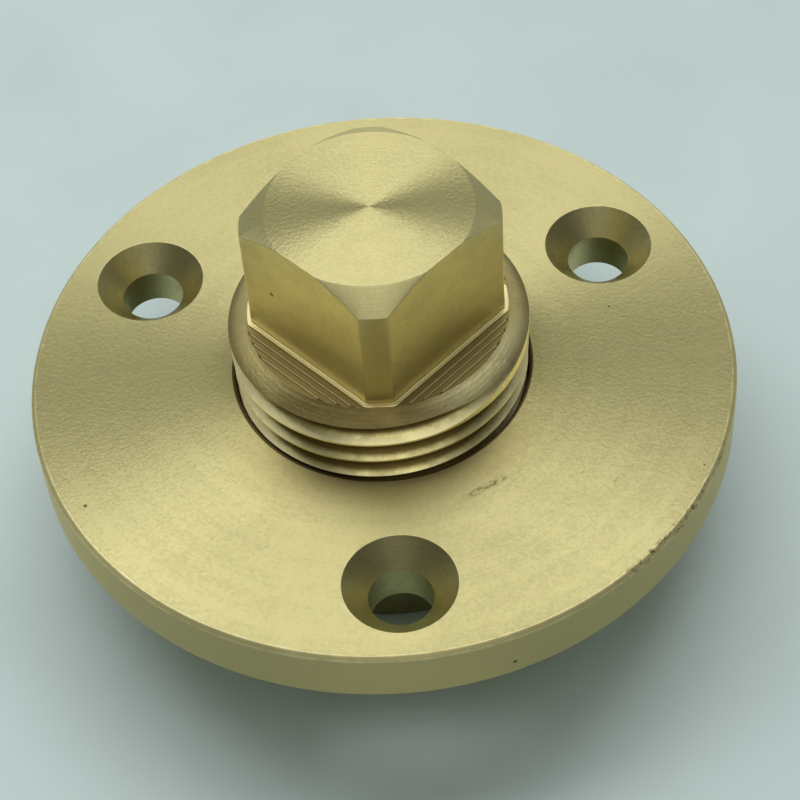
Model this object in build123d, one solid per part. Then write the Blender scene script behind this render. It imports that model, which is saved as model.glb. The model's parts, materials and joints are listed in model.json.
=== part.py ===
from build123d import *
import os
from math import atan, degrees, radians, tan

# Flanged drain socket with a square-head taper-thread plug screwed part-way into it.
# All sizes are in millimetres. The origin is the middle of the flange's underside, which is
# the face that goes against a hull or tank wall. +Z points out of the wall, towards the
# plug's square head, and the thread axis is the Z axis.

# Flange: a turned disc
flange_d = 50.8
flange_t = 4.5
rim_chamfer = 0.3

# Countersunk screw holes through the flange
screw_count = 3
screw_edge = 6.0            # from the flange's rim in to a hole's middle
screw_hole_d = 4.5
countersink_d = 7.9
countersink_angle = 90.0
first_screw_deg = 30.0

# Pipe thread, shared by the plug and the socket: 14 threads per inch, taper 1 in 16
thread_gauge_d = 20.96      # over the plug's crests, level with the flange's outer face
thread_pitch = 25.4 / 14
thread_taper = 1 / 16       # change of diameter per length
crest_flat = 0.16
root_flat = 0.04
flank_deg = 30.0            # each flank from the plane across the axis
thread_clearance = 0.10     # on radius, between the plug's crests and the socket's bore

# Plug body
plug_engaged = 8.6          # from the flange's outer face down to the plug's lower end
plug_exposed = 6.15         # from the flange's outer face up to the plug's shoulder
plug_lead_in = 1.0
shoulder_width = 1.53       # the sloping band round the shoulder, measured on radius
shoulder_drop = 1.15
run_out_deg = -20.0         # where the plug's thread starts, below the shoulder
run_out_drop = 1.19         # from the shoulder down to the middle of the groove's upper end

# Square head
head_af = 13.85             # across flats
head_h = 9.93               # from the shoulder to the top face
head_top_d = 14.2           # top face, inside the chamfer
head_chamfer_h = 1.28
corner_ledge = 0.25         # from the shoulder's edge in to the turned corners
head_corner_deg = -92.1     # direction of one corner

# Serrations that the milling of each flat leaves on the shoulder
floor_ledge = 0.31          # smooth strip at the foot of the flat
ridge_pitch = 0.50
ridge_depth = 0.17

# Socket hub
hub_h = 10.0
hub_wall = 1.52             # outside the socket's thread
hub_end_chamfer = 0.8
hub_root_fillet = 0.5
socket_thread_depth = 0.60
socket_thread_drop = 2.0    # from the flange's outer face down to the thread's upper end
mouth_chamfer = 0.12

# Worked-out sizes
face_z = flange_t
shoulder_z = face_z + plug_exposed
plug_end_z = face_z - plug_engaged
taper_deg = degrees(atan(thread_taper / 2))
thread_depth = (thread_pitch - crest_flat - root_flat) / 2 / tan(radians(flank_deg))
bore_gauge_r = thread_gauge_d / 2 + thread_clearance
hub_r = bore_gauge_r + socket_thread_depth + hub_wall
screw_circle_r = flange_d / 2 - screw_edge
past = 1.0                  # how far a cutting tool reaches past the metal


def tapered(gauge_r, z):
    """Radius at height z of a cone of the thread's taper whose radius at the face is gauge_r."""
    return gauge_r + (z - face_z) * thread_taper / 2


def turned(points):
    """Solid turned about the Z axis from an outline of (radius, z) points."""
    outline = make_face(Polyline([(r, 0, z) for r, z in points], close=True))
    return revolve(outline, Axis.Z)


def helical_groove(open_r, root_r, open_width, z_low, z_high, end_deg):
    """Right-hand tapered bar with a V section, widest at open_r and narrowest at root_r.

    The radii are those level with the flange's face. Its upper end is at z_high, at end_deg.
    """
    depth = abs(open_r - root_r)
    root_width = open_width - 2 * depth * tan(radians(flank_deg))
    reach = 0.4 * (thread_pitch - open_width) / tan(radians(flank_deg))
    beyond = reach if open_r > root_r else -reach
    wide = open_width / 2 + reach * tan(radians(flank_deg))
    low_open = tapered(open_r, z_low)
    low_root = tapered(root_r, z_low)
    section = make_face(Polyline(
        (low_open + beyond, 0, z_low + wide),
        (low_root, 0, z_low + root_width / 2),
        (low_root, 0, z_low - root_width / 2),
        (low_open + beyond, 0, z_low - wide),
        close=True,
    ))
    path = Helix(
        thread_pitch,
        z_high - z_low,
        (low_open + low_root) / 2,
        center=(0, 0, z_low),
        cone_angle=taper_deg,
    )
    turn = 360 * (z_high - z_low) / thread_pitch
    return Rot(0, 0, end_deg - turn) * sweep(section, path, is_frenet=True)


def drain_socket():
    """Flange and hub in one piece, with a threaded bore and three countersunk screw holes."""
    flange = Pos(0, 0, flange_t / 2) * Cylinder(flange_d / 2, flange_t)
    flange = chamfer(flange.edges(), rim_chamfer)
    hub = Pos(0, 0, -hub_h / 2) * Cylinder(hub_r, hub_h)
    hub = chamfer(hub.edges().group_by(Axis.Z)[0], hub_end_chamfer)
    socket = flange + hub
    hub_root = socket.edges().filter_by(
        lambda e: e.geom_type == GeomType.CIRCLE
        and abs(e.radius - hub_r) < 1e-6
        and abs(e.center().Z) < 1e-6
    )
    socket = fillet(hub_root, hub_root_fillet)

    top_z = face_z + past
    end_z = -hub_h - past
    bore = turned([
        (0, end_z), (tapered(bore_gauge_r, end_z), end_z),
        (tapered(bore_gauge_r, top_z), top_z), (0, top_z),
    ])
    mouth_r = bore_gauge_r + mouth_chamfer
    mouth = turned([
        (0, face_z - mouth_chamfer), (bore_gauge_r, face_z - mouth_chamfer),
        (mouth_r, face_z), (mouth_r, top_z), (0, top_z),
    ])
    thread = helical_groove(
        bore_gauge_r,
        bore_gauge_r + socket_thread_depth,
        2 * socket_thread_depth * tan(radians(flank_deg)) + crest_flat,
        -hub_h - thread_pitch,
        face_z - socket_thread_drop,
        run_out_deg,
    )
    socket = socket - bore - mouth - thread

    sink_h = (countersink_d - screw_hole_d) / 2 / tan(radians(countersink_angle / 2))
    screw_hole = turned([
        (0, -past), (screw_hole_d / 2, -past), (screw_hole_d / 2, face_z - sink_h),
        (countersink_d / 2, face_z), (countersink_d / 2, top_z), (0, top_z),
    ])
    for i in range(screw_count):
        around = first_screw_deg + i * 360 / screw_count
        socket -= Rot(0, 0, around) * Pos(screw_circle_r, 0, 0) * screw_hole
    return socket


def serrations():
    """V grooves parallel to one flat, in the shoulder outside it, for the flat that faces +X."""
    first = head_af / 2 + floor_ledge
    shoulder_r = tapered(thread_gauge_d / 2, shoulder_z) - shoulder_width
    count = max(int((shoulder_r - first) / ridge_pitch), 0)
    half = ridge_pitch / 2
    cuts = []
    for i in range(count):
        x = first + i * ridge_pitch
        vee = make_face(Polyline(
            (x, 0, shoulder_z), (x + half, 0, shoulder_z - ridge_depth),
            (x + ridge_pitch, 0, shoulder_z), close=True,
        ))
        cuts.append(extrude(vee, shoulder_r, dir=(0, 1, 0), both=True))
    return cuts


def drain_plug():
    """Solid plug: taper-threaded body, sloping shoulder and a square head with turned corners."""
    gauge_r = thread_gauge_d / 2
    crest_top_z = shoulder_z - shoulder_drop
    shoulder_r = tapered(gauge_r, shoulder_z) - shoulder_width
    corner_r = shoulder_r - corner_ledge
    top_z = shoulder_z + head_h
    lead_z = plug_end_z + plug_lead_in
    blank = turned([
        (0, plug_end_z),
        (tapered(gauge_r, plug_end_z) - plug_lead_in, plug_end_z),
        (tapered(gauge_r, lead_z), lead_z),
        (tapered(gauge_r, crest_top_z), crest_top_z),
        (shoulder_r, shoulder_z),
        (corner_r, shoulder_z),
        (corner_r, top_z - head_chamfer_h),
        (head_top_d / 2, top_z),
        (0, top_z),
    ])
    thread = helical_groove(
        gauge_r,
        gauge_r - thread_depth,
        thread_pitch - crest_flat,
        plug_end_z - thread_pitch,
        shoulder_z - run_out_drop,
        run_out_deg,
    )
    plug = blank - thread
    outside = 2 * corner_r
    mill = Pos(head_af / 2 + outside / 2, 0, shoulder_z + head_h / 2 + past / 2) * Box(
        outside, 2 * outside, head_h + past
    )
    flats = [mill] + serrations()
    for side in range(4):
        facing = Rot(0, 0, head_corner_deg + 45 + 90 * side)
        for cut in flats:
            plug -= facing * cut
    return plug


sub_parts = {
    "drain_socket": drain_socket,
    "square_head_plug": drain_plug,
}

os.makedirs("parts", exist_ok=True)
for name, make in sub_parts.items():
    export_step(make(), f"parts/{name}.step")
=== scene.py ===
import json
import math

import bmesh
import bpy
from mathutils import Matrix, Vector


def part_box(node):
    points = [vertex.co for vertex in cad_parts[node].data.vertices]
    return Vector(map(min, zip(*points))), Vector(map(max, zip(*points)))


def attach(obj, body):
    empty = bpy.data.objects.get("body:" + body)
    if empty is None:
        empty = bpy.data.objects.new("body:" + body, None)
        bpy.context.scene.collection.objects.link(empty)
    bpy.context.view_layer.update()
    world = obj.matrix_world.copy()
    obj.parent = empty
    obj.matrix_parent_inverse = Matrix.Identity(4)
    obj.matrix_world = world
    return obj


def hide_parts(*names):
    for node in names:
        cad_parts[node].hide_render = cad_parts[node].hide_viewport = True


bl_info = {
    "name": "Flanged drain socket and plug",
    "version": (1, 0, 0),
    "blender": (4, 5, 0),
    "location": "3D View > Sidebar > Drain fitting",
    "description": "Makes the turned socket, its square-head plug and a plain stage",
    "category": "Object",
}

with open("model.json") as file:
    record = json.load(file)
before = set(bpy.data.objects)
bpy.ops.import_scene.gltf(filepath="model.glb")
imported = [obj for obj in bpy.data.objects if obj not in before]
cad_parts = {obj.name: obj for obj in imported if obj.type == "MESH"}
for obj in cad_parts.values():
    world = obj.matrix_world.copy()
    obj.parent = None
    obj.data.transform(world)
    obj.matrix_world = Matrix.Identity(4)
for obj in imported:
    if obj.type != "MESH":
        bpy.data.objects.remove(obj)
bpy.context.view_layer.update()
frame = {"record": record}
SOCKET_LOW, SOCKET_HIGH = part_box("drain_socket")
PLUG_LOW, PLUG_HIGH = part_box("square_head_plug")
MOUNTS = {mount["name"]: mount for mount in frame["record"]["mounts"]}
SCREWS = MOUNTS["flange_screws"]["dims"]
HUB = MOUNTS["hub_spigot"]["dims"]
FACE_Z = SOCKET_HIGH.z              # the flange's outer face

MM = 0.001
QUARTER = math.pi / 2
THREAD_FLANK = math.radians(30)
SMOOTH_BELOW = math.radians(28)     # faces that meet at less than this are shaded smooth
ALIKE = 0.99999                     # cosine between two directions that count as the same
WELD = 1e-7                         # points nearer than this are one point
ON_LEVEL = 0.01 * MM                # how far off a level a face's middle may be
UP, DOWN = Vector((0, 0, 1)), Vector((0, 0, -1))
THREAD_REACH = 0.10 * MM            # how far the thread's cutter stands clear of the surface
RIDGE_SEED = 5
FLOOR_GAP = 0.02 * MM               # keeps the hub's end clear of the floor
SENSOR_MM = 36
NEAR_CLIP, FAR_CLIP = 0.005, 10


def length(name, description, default):
    """A size in metres, shown in the scene's own unit."""
    return bpy.props.FloatProperty(
        name=name, description=description, default=default, min=0.0, precision=5,
        unit="LENGTH", subtype="DISTANCE",
    )


def place(name, description, default):
    """A point in metres."""
    return bpy.props.FloatVectorProperty(
        name=name, description=description, default=default, size=3, precision=5,
        unit="LENGTH", subtype="TRANSLATION",
    )


def turn(name, description, degrees):
    """An angle, given in degrees and kept in radians."""
    return bpy.props.FloatProperty(
        name=name, description=description, default=math.radians(degrees),
        unit="ROTATION", subtype="ANGLE",
    )


def colour(name, description, default):
    """A linear colour. Light may be above 1."""
    return bpy.props.FloatVectorProperty(
        name=name, description=description, default=default, size=3, min=0.0, soft_max=1.0,
        subtype="COLOR",
    )


def share(name, description, default):
    """A plain number from 0 up."""
    return bpy.props.FloatProperty(name=name, description=description, default=default, min=0.0)


def count(name, description, default, least):
    """A whole number."""
    return bpy.props.IntProperty(name=name, description=description, default=default, min=least)


class SocketSizes(bpy.types.PropertyGroup):
    """Sizes of the flange and its hub."""

    flange_radius: length("Flange radius", "Middle to rim", SOCKET_HIGH.x)
    flange_thickness: length("Flange thickness", "Underside to outer face", FACE_Z)
    rim_break: length("Rim break", "Bevel of the rim's two edges", 0.30 * MM)
    hub_radius: length("Hub radius", "Outside of the hub", HUB["r_mm"] * MM)
    hub_height: length("Hub height", "Flange underside to the hub's end", -SOCKET_LOW.z)
    hub_end_break: length("Hub end chamfer", "Chamfer round the hub's end", 0.8 * MM)
    hub_root: length("Hub root", "Fillet where hub and flange meet", 0.5 * MM)
    bore_radius: length("Bore radius", "Bore, level with the outer face", 10.58 * MM)
    mouth_radius: length("Mouth radius", "Edge of the bore in the outer face", 10.70 * MM)
    thread_depth: length("Thread depth", "Depth of the socket's thread", 0.6 * MM)
    thread_drop: length("Thread drop", "Outer face to the thread's upper end", 2.0 * MM)
    screw_circle: length("Screw circle radius", "Axis to a screw hole", SCREWS["pcd_mm"] / 2 * MM)
    screw_hole_radius: length("Screw hole radius", "Through hole", SCREWS["hole_r_mm"] * MM)
    countersink_radius: length("Countersink radius", "At the outer face", 3.95 * MM)
    countersink_angle: turn("Countersink angle", "Included angle of the cone", 90)
    first_screw: turn("First screw", "Direction of one screw hole", 30)


class PlugSizes(bpy.types.PropertyGroup):
    """Sizes of the plug's head and body."""

    top: length("Top", "Height of the head's top face", PLUG_HIGH.z)
    end_depth: length("End depth", "Flange underside down to the plug's end", -PLUG_LOW.z)
    shoulder: length("Shoulder", "Height of the shoulder above the outer face", 6.15 * MM)
    across_flats: length("Across flats", "Width of the square", 13.85 * MM)
    corner_radius: length("Corner radius", "Axis to a turned corner", 8.89 * MM)
    top_radius: length("Top radius", "Top face inside its chamfer", 7.1 * MM)
    top_chamfer: length("Top chamfer", "Height of the head's chamfer", 1.28 * MM)
    shoulder_radius: length("Shoulder radius", "Inner edge of the sloping band", 9.14 * MM)
    shoulder_drop: length("Shoulder drop", "Height of the sloping band", 1.15 * MM)
    crest_radius: length("Crest radius", "Thread crests, level with the outer face", 10.48 * MM)
    lead_in: length("Lead-in", "Chamfer at the plug's end", 1.0 * MM)
    edge_break: length("Edge break", "Rounding of the head's edges", 0.10 * MM)
    corner_turn: turn("Corner turn", "Direction of one corner", -92.1)
    ledge: length("Ledge", "Smooth strip at the foot of a flat", 0.31 * MM)
    ridge_pitch: length("Ridge pitch", "Between the cutter's ridges", 0.50 * MM)
    ridge_depth: length("Ridge depth", "Depth of the cutter's grooves", 0.17 * MM)
    ridge_half: length("Ridge half length", "Middle of a groove to its end", 6.6 * MM)
    ridge_wander: share("Ridge wander", "How much the grooves' depths differ", 0.15)
    ridge_count: count("Ridge count", "Grooves beside each flat", 4, least=1)


class ThreadSizes(bpy.types.PropertyGroup):
    """Sizes of the taper pipe thread."""

    pitch: length("Pitch", "Rise in one turn", 25.4 / 14 * MM)
    taper: share("Taper", "Change of diameter per length", 1 / 16)
    crest_flat: length("Crest flat", "Width of the crests", 0.16 * MM)
    root_flat: length("Root flat", "Width of the roots", 0.04 * MM)
    upper_end: length("Upper end", "Shoulder down to the groove's upper end", 1.19 * MM)
    run_out: turn("Run-out", "Direction of the groove's upper end", -20.3)
    fade: share("Fade", "Turns over which the groove dies away", 0.16)
    segments: count("Segments", "Steps in one turn", 240, least=24)


class FinishColours(bpy.types.PropertyGroup):
    """Colours of the brass."""

    satin: colour("Satin brass", "Faced and turned metal", (0.58, 0.53, 0.255))
    satin_dull: colour("Dull satin brass", "Turned metal in its duller patches", (0.42, 0.385, 0.18))
    rim: colour("Rim", "The flange's edge", (0.61, 0.52, 0.25))
    bright: colour("Bright brass", "Freshly cut thread and ridges", (0.86, 0.77, 0.37))
    dull: colour("Dull brass", "Lightly tarnished metal", (0.50, 0.43, 0.20))
    # Real rubbed edges, and also the painted highlight on the thread crests and the ridge tops.
    rubbed_and_highlight: colour("Rubbed brass and highlights", "Edges that are rubbed bright", (0.94, 0.85, 0.47))
    drilled: colour("Drilled brass", "Inside the screw holes", (0.62, 0.565, 0.28))
    corner: colour("Corners", "The strips between the flats", (0.58, 0.46, 0.20))
    milled: colour("Milled brass", "The plug's flats", (0.68, 0.59, 0.29))
    greyed: colour("Greyed brass", "The band above the thread", (0.72, 0.60, 0.26))
    # Real specks, knocks and scratches, and also painted shade: the dark ring at the mouth and the dark
    # brown of the bore and the hub.
    stain_and_shade: colour("Stain", "Specks, knocks and scratches", (0.10, 0.075, 0.03))
    # Painted shade, down in the thread roots and on the shoulder band's foot and front.
    root: colour("Painted root shade", "Darker metal down in the thread", (0.16, 0.112, 0.03))
    # Painted shade: the plug's shadow and brown reflection on the flange in front of it, and the shade
    # down in the ridge grooves.
    painted_brown_shade: colour("Painted brown shade", "Brown tarnish round the mouth", (0.30, 0.235, 0.09))
    # Painted shade: the bore is dark brown for the shadowed gap round the plug.
    bore: colour("Bore", "Brown metal inside the bore", (0.20, 0.12, 0.04))
    # Painted shade: the hub is dark for the shade under the flange.
    hub: colour("Hub", "Duller metal behind the flange", (0.30, 0.255, 0.125))


class StageSettings(bpy.types.PropertyGroup):
    """Floor, room, lamp and camera."""

    floor: colour("Floor colour", "Pale plain floor", (0.66, 0.80, 0.80))
    floor_half: length("Floor half width", "Middle of the floor to its edge", 1.2)
    walls: colour("Walls", "Light from the sides", (0.33, 0.335, 0.315))
    near_walls: colour("Near walls", "Light from the camera's side", (0.092, 0.095, 0.088))
    ceiling: colour("Ceiling", "Light from overhead", (1.12, 1.10, 1.02))
    lamp_width: length("Lamp width", "Long side of the soft light", 0.52)
    lamp_depth: length("Lamp depth", "Short side of the soft light", 0.18)
    lamp_power: share("Lamp power", "Watts of the soft light", 1.05)
    lamp_place: place("Lamp place", "Middle of the soft light", (-0.04, 0.128, 0.375))
    aim: place("Aim", "Point the camera looks at", (1.04 * MM, -3.72 * MM, 4.5 * MM))
    camera_distance: length("Camera distance", "Camera to its aim", 162.49 * MM)
    camera_height: turn("Camera height", "Angle above the horizon", 50.917)
    camera_side: turn("Camera side", "Angle round the object", -0.34)
    camera_roll: turn("Camera roll", "Tilt of the frame", -4.436)
    lens: share("Lens", "Focal length on a 36 mm frame", 102.855)


# ---------------------------------------------------------------- meshes


def rounded(corners, steps=3, closed=False):
    """Outline of (radius, height) points from corners (radius, height, rounding)."""
    total, most_of_side = len(corners), 0.45
    outline = []
    for i, (radius, height, rounding) in enumerate(corners):
        here = Vector((radius, height))
        at_end = not closed and i in (0, total - 1)
        if at_end or rounding <= 0:
            outline.append(here)
            continue
        before = Vector(corners[i - 1][:2]) - here
        after = Vector(corners[(i + 1) % total][:2]) - here
        half_angle = before.angle(after) / 2
        room = most_of_side * before.length, most_of_side * after.length
        reach = min(rounding / math.tan(half_angle), *room)
        first = here + reach * before.normalized()
        last = here + reach * after.normalized()
        for step in range(steps + 1):
            t = step / steps
            outline.append((1 - t) ** 2 * first + 2 * t * (1 - t) * here + t * t * last)
    return outline


def turned(name, directions, outlines, closed=False):
    """Closed mesh through one outline for each direction round the Z axis."""
    rows = len(outlines[0])
    points = [
        (p.x * math.cos(a), p.x * math.sin(a), p.y)
        for a, outline in zip(directions, outlines) for p in outline
    ]
    faces = []
    for i in range(len(outlines)):
        here, there = i * rows, (i + 1) % len(outlines) * rows
        for j in range(rows if closed else rows - 1):
            k = (j + 1) % rows
            faces.append((here + j, there + j, there + k, here + k))
    mesh = bpy.data.meshes.new(name)
    mesh.from_pydata(points, [], faces)
    welded = bmesh.new()
    welded.from_mesh(mesh)
    bmesh.ops.remove_doubles(welded, verts=welded.verts, dist=WELD)
    bmesh.ops.dissolve_degenerate(welded, edges=welded.edges, dist=WELD)
    bmesh.ops.recalc_face_normals(welded, faces=welded.faces)
    welded.to_mesh(mesh)
    welded.free()
    return put_in_scene(name, mesh)


def spun(name, outline, columns, closed=False):
    """Closed mesh of one outline spun round the Z axis."""
    directions = [2 * math.pi * i / columns for i in range(columns)]
    return turned(name, directions, [outline] * columns, closed)


def put_in_scene(name, data):
    """A new object of the scene."""
    made = bpy.data.objects.new(name, data)
    bpy.context.scene.collection.objects.link(made)
    return made


def plain_mesh(made):
    """Turns what the object's modifiers make into its own mesh."""
    bpy.context.view_layer.update()
    graph = bpy.context.evaluated_depsgraph_get()
    mesh = bpy.data.meshes.new_from_object(made.evaluated_get(graph))
    made.modifiers.clear()
    made.data = mesh


def smooth_between_edges(made, flat_ways):
    """Shades the turned faces smooth and keeps edges crisp. Faces that look a flat way stay flat."""
    made.data.shade_smooth()
    made.data.set_sharp_from_angle(angle=SMOOTH_BELOW)
    looked_at = bmesh.new()
    looked_at.from_mesh(made.data)
    flat = {
        face.index: next((i for i, way in enumerate(flat_ways) if face.normal.dot(way) > ALIKE), -1)
        for face in looked_at.faces
    }
    for edge in looked_at.edges:
        if len({flat[face.index] for face in edge.link_faces}) > 1:
            edge.smooth = False
    looked_at.to_mesh(made.data)
    looked_at.free()
    weighted = made.modifiers.new("Weighted normals", "WEIGHTED_NORMAL")
    weighted.mode = "FACE_AREA"
    weighted.keep_sharp = True
    plain_mesh(made)


def flange_and_hub(sizes, thread, columns=720):
    """The socket before its screw holes and thread are cut: one closed turned ring."""
    face, rim, break_in = sizes.flange_thickness, sizes.flange_radius, sizes.rim_break
    hub, hub_break, end = sizes.hub_radius, sizes.hub_end_break, -sizes.hub_height
    bore_end = sizes.bore_radius + (end - face) * thread.taper / 2
    bore_break = 0.3 * MM
    mouth_step = sizes.mouth_radius - sizes.bore_radius
    mouth_edge, rim_edge, hub_edge, bore_edge, step_edge = (
        0.03 * MM, 0.10 * MM, 0.08 * MM, 0.04 * MM, 0.02 * MM
    )
    outline = rounded([
        (sizes.mouth_radius, face, mouth_edge),
        (rim - break_in, face, rim_edge),
        (rim, face - break_in, rim_edge),
        (rim, break_in, rim_edge),
        (rim - break_in, 0, rim_edge),
        (hub, 0, sizes.hub_root),
        (hub, end + hub_break, hub_edge),
        (hub - hub_break, end, hub_edge),
        (bore_end + bore_break, end, bore_edge),
        (bore_end, end + bore_break, bore_edge),
        (sizes.bore_radius, face - mouth_step, step_edge),
    ], closed=True)
    return spun("Socket_turned", outline, columns, closed=True)


def screw_axes(sizes):
    """Where the screw holes' axes cross the flange's underside."""
    step = 2 * math.pi / SCREWS["count"]
    ways = [sizes.first_screw + i * step for i in range(SCREWS["count"])]
    return [sizes.screw_circle * Vector((math.cos(a), math.sin(a), 0.0)) for a in ways]


def screw_hole_cutter(sizes, columns=72):
    """A countersunk hole's shape, with its mouth flared to round the edge."""
    face, hole, sink = sizes.flange_thickness, sizes.screw_hole_radius, sizes.countersink_radius
    sink_depth = (sink - hole) / math.tan(sizes.countersink_angle / 2)
    flare, flare_rise, cone_edge = 0.10 * MM, 0.02 * MM, 0.05 * MM
    top, widens_at, end, wider = face + 0.6 * MM, -0.2 * MM, -1.0 * MM, 0.8 * MM
    outline = rounded([
        (0, end, 0),
        (hole + wider, end, 0),
        (hole, widens_at, 0),
        (hole, face - sink_depth, cone_edge),
        (sink, face, flare),
        (sink + 4 * flare, face + flare_rise, 0),
        (sink + 4 * flare, top, 0),
        (0, top, 0),
    ], steps=4)
    return spun("Screw_hole_cutter", outline, columns)


def lesser(a, b, width):
    """The lesser of two radii, rounded where they cross."""
    overlap = max(width - abs(a - b), 0.0) / width
    return min(a, b) - overlap * overlap * width / 4


def square_turns(edge):
    """Directions round one square: a degree apart, and closer at each corner's two edges."""
    side = [math.radians(step) for step in range(-45, 45)]
    for near in (-0.9, -0.6, -0.3, 0.0, 0.3, 0.6, 0.9):
        side += [edge + math.radians(near), -edge + math.radians(near)]
    side = sorted(set(round(a, 6) for a in side if -math.pi / 4 <= a < math.pi / 4))
    return [quarter * QUARTER + a for quarter in range(4) for a in side]


def flat_turn(sizes):
    """The direction in which the first flat looks."""
    return sizes.corner_turn + math.pi / 4


def plug_blank(sizes, thread):
    """The plug before its thread and its cutter ridges: turned body, milled square head."""
    half_flat = sizes.across_flats / 2
    shoulder_z = FACE_Z + sizes.shoulder
    crest_top = shoulder_z - sizes.shoulder_drop
    end_z = -sizes.end_depth
    lead_z = end_z + sizes.lead_in
    chamfer_slope = sizes.top_chamfer / (sizes.corner_radius - sizes.top_radius)
    thinnest, corner_edge, above_foot = 0.02 * MM, 0.06 * MM, 0.3 * MM
    foot_edge, band_edge, crest_edge, end_edge = 0.06 * MM, 0.05 * MM, 0.04 * MM, 0.08 * MM
    top_rings = (0.0, 0.55, 0.9)        # rings of points in the top face, as shares of its radius
    first_flat = flat_turn(sizes)

    def crest(z):
        return sizes.crest_radius + (z - FACE_Z) * thread.taper / 2

    def outline_at(direction):
        from_flat = (direction - first_flat + math.pi / 4) % QUARTER - math.pi / 4
        wall = lesser(half_flat / math.cos(from_flat), sizes.corner_radius, corner_edge)
        top_edge = min(sizes.top_radius, wall - thinnest)
        wall_top = sizes.top - (wall - top_edge) * chamfer_slope
        return rounded([
            *((part * sizes.top_radius, sizes.top, 0) for part in top_rings),
            (top_edge, sizes.top, sizes.edge_break),
            (wall, wall_top, sizes.edge_break),
            (wall, (wall_top + shoulder_z) / 2, 0),
            (wall, shoulder_z + above_foot, 0),
            (wall, shoulder_z, foot_edge),
            (sizes.shoulder_radius, shoulder_z, band_edge),
            (crest(crest_top), crest_top, crest_edge),
            (crest(lead_z), lead_z, crest_edge),
            (crest(end_z) - sizes.lead_in, end_z, end_edge),
            (0, end_z, 0),
        ])

    flat_edge = math.acos(half_flat / sizes.corner_radius)
    directions = [first_flat + a for a in square_turns(flat_edge)]
    return turned("Plug_turned", directions, [outline_at(direction) for direction in directions])


# ---------------------------------------------------------------- node trees


class Nodes:
    """Short ways to add nodes to one tree."""

    def __init__(self, tree):
        self.tree = tree

    def give(self, socket, value):
        """Feeds an input from another node's output, or with a plain value."""
        if isinstance(value, bpy.types.NodeSocket):
            self.tree.links.new(value, socket)
        else:
            socket.default_value = value

    def node(self, kind, values=None, **settings):
        """Adds a node, sets it up and feeds its inputs."""
        node = self.tree.nodes.new(kind)
        for key, value in settings.items():
            setattr(node, key, value)
        for key, value in (values or {}).items():
            self.give(node.inputs[key], value)
        return node

    def add(self, kind, values=None, out=0, **settings):
        """Adds a node and hands back one of its outputs."""
        return self.node(kind, values, **settings).outputs[out]

    def maths(self, kind, *values, clamp=False):
        """What a math node makes of the values."""
        return self.add("ShaderNodeMath", dict(enumerate(values)), operation=kind, use_clamp=clamp)

    def plus(self, a, b):
        return self.maths("ADD", a, b)

    def minus(self, a, b):
        return self.maths("SUBTRACT", a, b)

    def times(self, a, b):
        return self.maths("MULTIPLY", a, b)

    def over(self, a, b):
        return self.maths("DIVIDE", a, b)

    def point(self, x=0.0, y=0.0, z=0.0):
        """A vector from three numbers."""
        return self.add("ShaderNodeCombineXYZ", {"X": x, "Y": y, "Z": z})

    def parts(self, vector):
        """The three numbers of a vector."""
        return tuple(self.node("ShaderNodeSeparateXYZ", {"Vector": vector}).outputs)

    def vector(self, kind, *values, out=0):
        """What a vector math node makes of the values."""
        return self.add("ShaderNodeVectorMath", dict(enumerate(values)), out, operation=kind)

    def size(self, vector):
        return self.vector("LENGTH", vector, out="Value")

    def from_axis(self, place):
        """Distance from the Z axis."""
        return self.size(self.vector("MULTIPLY", place, (1, 1, 0)))

    def rotated(self, vector, angle, axis=(0, 0, 1)):
        return self.add("ShaderNodeVectorRotate", {"Vector": vector, "Angle": angle, "Axis": axis})

    def step(self, value, low, high, to_low=0.0, to_high=1.0):
        """A smooth step, from to_low where value is low to to_high where it is high."""
        given = {"Value": value, "From Min": low, "From Max": high, "To Min": to_low, "To Max": to_high}
        return self.add("ShaderNodeMapRange", given, interpolation_type="SMOOTHSTEP")

    def noise(self, place, scale, detail, roughness=0.5, out=0):
        """Smooth random values round 0.5."""
        given = {"Vector": place, "Scale": scale, "Detail": detail, "Roughness": roughness}
        return self.add("ShaderNodeTexNoise", given, out)

    def mix(self, share, a, b):
        """A colour between a and b."""
        node = self.node("ShaderNodeMix", data_type="RGBA")
        sockets = {socket.identifier: socket for socket in (*node.inputs, *node.outputs)}
        for key, value in (("Factor_Float", share), ("A_Color", a), ("B_Color", b)):
            self.give(sockets[key], value)
        return sockets["Result_Color"]


class Group(Nodes):
    """A node group with named inputs and outputs."""

    KINDS = {
        "number": "NodeSocketFloat", "whole": "NodeSocketInt", "vector": "NodeSocketVector",
        "colour": "NodeSocketColor", "material": "NodeSocketMaterial", "object": "NodeSocketObject",
        "geometry": "NodeSocketGeometry",
    }

    def __init__(self, kind, name, inputs, outputs):
        super().__init__(bpy.data.node_groups.new(name, kind))
        for way, sockets in (("INPUT", inputs), ("OUTPUT", outputs)):
            for label, shape in sockets.items():
                self.tree.interface.new_socket(label, in_out=way, socket_type=self.KINDS[shape])
        self.given = self.tree.nodes.new("NodeGroupInput").outputs
        self.result = self.tree.nodes.new("NodeGroupOutput").inputs

    def put_out(self, **values):
        """Links the group's outputs and hands back its tree."""
        for label, socket in values.items():
            self.tree.links.new(socket, self.result[label])
        return self.tree


def numbers(*labels):
    """Plain numbers as a group's inputs or outputs."""
    return dict.fromkeys(labels, "number")


def built(name):
    """The node tree of this name, built the first time that it is asked for."""
    return bpy.data.node_groups.get(name) or TREES[name](name)


# ---------------------------------------------------------------- geometry node trees


def cutting_tree(name, inputs):
    """A geometry tree that cuts something out of the mesh it is given."""
    inputs = {"Geometry": "geometry", **inputs, "Material": "material"}
    return Group("GeometryNodeTree", name, inputs, {"Geometry": "geometry"})


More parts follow.
